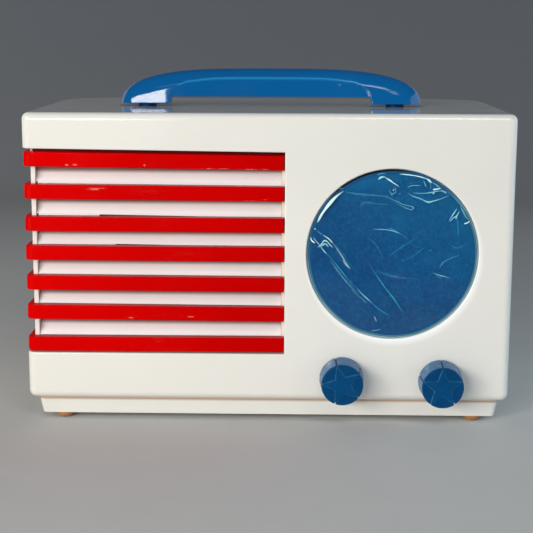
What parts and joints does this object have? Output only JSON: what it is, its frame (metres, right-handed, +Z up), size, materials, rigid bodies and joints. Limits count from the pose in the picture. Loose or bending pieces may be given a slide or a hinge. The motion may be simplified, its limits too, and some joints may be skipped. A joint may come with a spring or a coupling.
{
  "type": "table radio",
  "caption": "Ivory resin table radio with a wrap-round louvred grille, round dial, two star knobs, arched carrying handle, vented rear cover and a working tuning drive.",
  "frame": {"origin": "on the table, under the middle of the whole object's box, knobs included", "axes": "+X to the right of the front, along the width; +Y from the front to the rear; +Z up"},
  "size_m": [0.2794, 0.1764, 0.2026],
  "materials": {
    "aluminium_can": "drawn can",
    "aluminium_plates": "plain",
    "black_enamel": "black enamel",
    "blue_handle": "polished cast resin",
    "blue_knobs": "satin moulded resin",
    "brass_parts": "dull brass",
    "brown_resin": "brown phenolic resin",
    "clear_film": "thin wrinkled protective film",
    "clear_lens": "clear",
    "cone_paper": "pressed felted paper",
    "cord_fabric": "braided drive cord",
    "core_steel": "varnished laminations",
    "dial_blue": "painted sheet, slightly mottled",
    "foot_rubber": "translucent amber",
    "grey_enamel": "grey enamel",
    "grille_fabric": "woven cloth",
    "ivory_case": "polished cast resin",
    "lamp_glass": "clear",
    "plated_steel": "cadmium plated sheet",
    "pressed_board": "pressed fibre board",
    "red_bars": "polished cast resin",
    "screw_steel": "nickel plated",
    "valve_glass": "clear with silvered top",
    "white_slats": "satin to gloss resin",
    "winding": "cotton covered wire"
  },
  "bodies": {
    "cabinet": {"case": "ivory_case", "chassis": "plated_steel", "chassis_screws": "screw_steel", "cord_grommet": "brown_resin", "dial_disc": "dial_blue", "dial_film": "clear_film", "dial_lamp": "lamp_glass", "dial_lamp_holder": "plated_steel", "dial_lens": "clear_lens", "dial_plate": "plated_steel", "dial_plate_screws": "screw_steel", "drive_cord": "cord_fabric", "feet": "foot_rubber", "filter_capacitor": "aluminium_can", "gang_frame": "plated_steel", "gang_stators": "aluminium_plates", "grille_bar_1": "red_bars", "grille_bar_2": "red_bars", "grille_bar_3": "red_bars", "grille_bar_4": "red_bars", "grille_bar_5": "red_bars", "grille_bar_6": "red_bars", "grille_bar_7": "red_bars", "grille_cloth": "grille_fabric", "grille_frame": "ivory_case", "grille_slat_1": "white_slats", "grille_slat_2": "white_slats", "grille_slat_3": "white_slats", "grille_slat_4": "white_slats", "grille_slat_5": "white_slats", "grille_slat_6": "white_slats", "handle": "blue_handle", "handle_screws": "screw_steel", "handle_spacers": "blue_handle", "if_can_1": "aluminium_can", "if_can_2": "aluminium_can", "loop_antenna": "winding", "metal_valve_1": "black_enamel", "metal_valve_2": "black_enamel", "metal_valve_3": "black_enamel", "output_transformer": "core_steel", "rear_cover": "pressed_board", "rear_cover_screws": "screw_steel", "speaker_baffle": "pressed_board", "speaker_basket": "grey_enamel", "speaker_cone": "cone_paper", "speaker_magnet": "core_steel", "tuning_bushing": "brass_parts", "valve_base_1": "brown_resin", "valve_base_2": "brown_resin", "valve_glass_1": "valve_glass", "valve_glass_2": "valve_glass", "valve_sockets": "brown_resin", "volume_control": "plated_steel"},
    "volume_spindle": {"volume_shaft": "aluminium_plates", "volume_knob": "blue_knobs"},
    "tuning_spindle": {"tuning_shaft": "brass_parts", "tuning_knob": "blue_knobs"},
    "tuning_gang": {"gang_rotor": "aluminium_plates", "drive_drum": "aluminium_plates"}
  },
  "joints": [
    {"name": "volume_turn", "type": "hinge", "parent": "cabinet", "child": "volume_spindle", "pos_m": [0.0427, -0.07175, 0.0275], "axis": [0, 1, 0], "range_deg": [0, 300]},
    {"name": "tuning_turn", "type": "hinge", "parent": "cabinet", "child": "tuning_spindle", "pos_m": [0.0998, -0.07175, 0.0263], "axis": [0, 1, 0], "range_deg": [-567, 567]},
    {"name": "gang_turn", "type": "hinge", "parent": "cabinet", "child": "tuning_gang", "pos_m": [0.075, -0.07175, 0.084], "axis": [0, 1, 0], "range_deg": [-90, 90]}
  ],
  "couplings": [
    {"joint": "gang_turn", "follows": "tuning_turn", "ratio": 0.15862}
  ]
}
